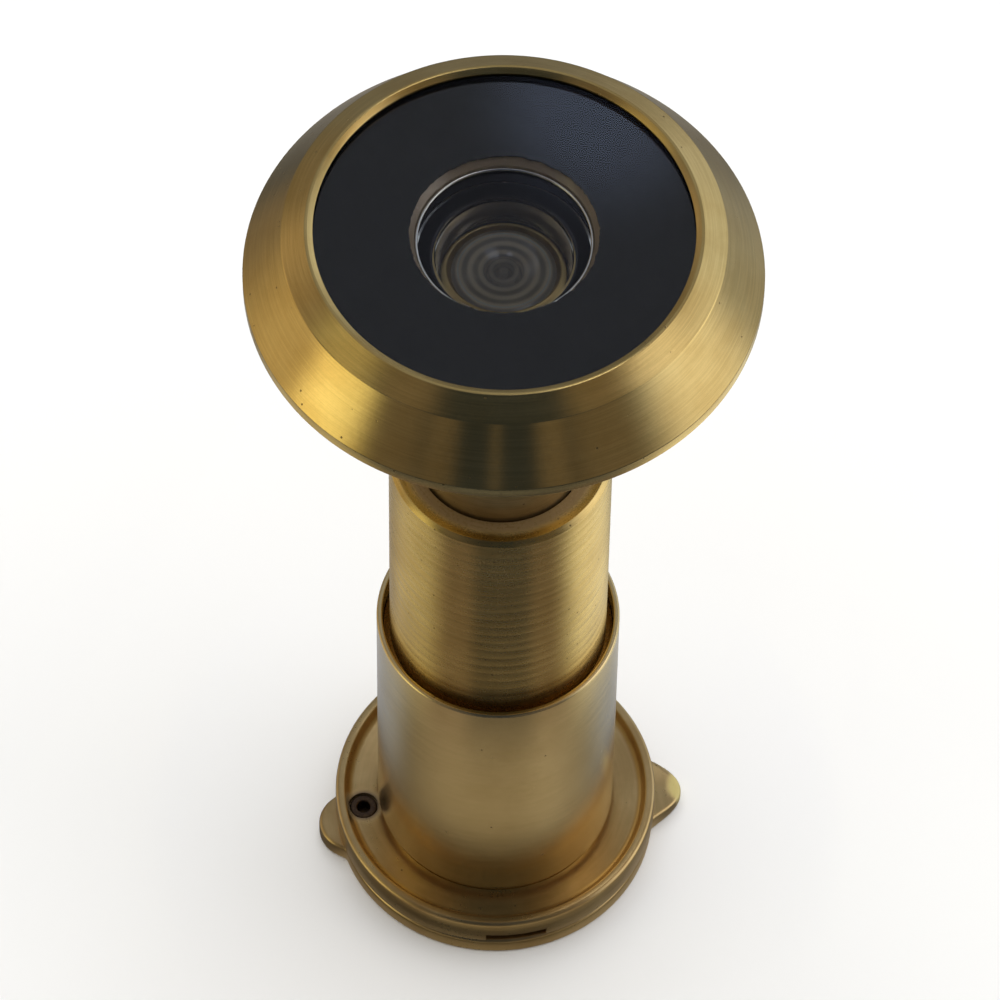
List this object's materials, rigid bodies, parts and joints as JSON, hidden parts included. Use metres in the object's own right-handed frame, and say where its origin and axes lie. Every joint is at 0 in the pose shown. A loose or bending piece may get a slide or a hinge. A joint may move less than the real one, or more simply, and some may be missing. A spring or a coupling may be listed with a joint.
{
  "type": "door viewer",
  "caption": "Wide-angle brass door viewer: conical head with black-masked lens, neck tube and barrel screwed into a flanged sleeve with a swinging privacy cover.",
  "frame": {"origin": "on the viewing axis, at the underside of the privacy cover on which the viewer stands", "axes": "+Z along the viewing axis from the eye side to the outside head; +X towards the cover's thumb tab, with the pivot rivet on -X; the coin slot runs along Y"},
  "size_m": [0.0314, 0.0314, 0.0697],
  "materials": {
    "turned_brass": "brushed, aged",
    "neck_brass": "turned",
    "ringed_brass": "finely turned rings",
    "smooth_brass": "smooth, satin",
    "bored_brass": "dull, as bored",
    "pressed_brass": "aged satin",
    "dark_rivet": "darkened",
    "spring_wire": "bright",
    "clear_glass": "polished",
    "lens_glass": "polished",
    "black_coating": "opaque black",
    "black_rubber": "matte",
    "black_plastic": "matte black"
  },
  "bodies": {
    "rear_half": {"rear_sleeve": "smooth_brass", "rear_flange": "pressed_brass", "eyepiece_seat_ring": "black_rubber", "eyepiece_lens": "lens_glass", "eyepiece_retaining_ring": "turned_brass", "pivot_rivet": "dark_rivet", "spring_washer": "spring_wire"},
    "cover": {"privacy_cover": "pressed_brass"},
    "screw_carrier": {"third_lens": "lens_glass"},
    "front_half": {"bezel": "turned_brass", "cover_glass": "clear_glass", "black_mask": "black_coating", "front_lens_ring": "spring_wire", "front_lens": "lens_glass", "lens_gasket": "black_rubber", "lens_tube": "neck_brass", "second_lens": "lens_glass", "lens_spacer": "bored_brass", "lens_retaining_ring": "turned_brass", "light_baffle": "black_plastic", "front_barrel": "ringed_brass"}
  },
  "joints": [
    {"name": "cover_swing", "type": "hinge", "parent": "rear_half", "child": "cover", "pos_m": [-0.0089, 0, 0.0007], "axis": [0, 0, 1], "continuous": true},
    {"name": "thread_travel", "type": "slide", "parent": "rear_half", "child": "screw_carrier", "axis": [0, 0, 1], "range_m": [-0.0135, 0.00112]},
    {"name": "front_turn", "type": "hinge", "parent": "screw_carrier", "child": "front_half", "pos_m": [0, 0, 0.03], "axis": [0, 0, 1], "range_deg": [-6480, 540]}
  ],
  "couplings": [
    {"joint": "thread_travel", "follows": "front_turn", "m_per_rad": 0.00011937}
  ]
}
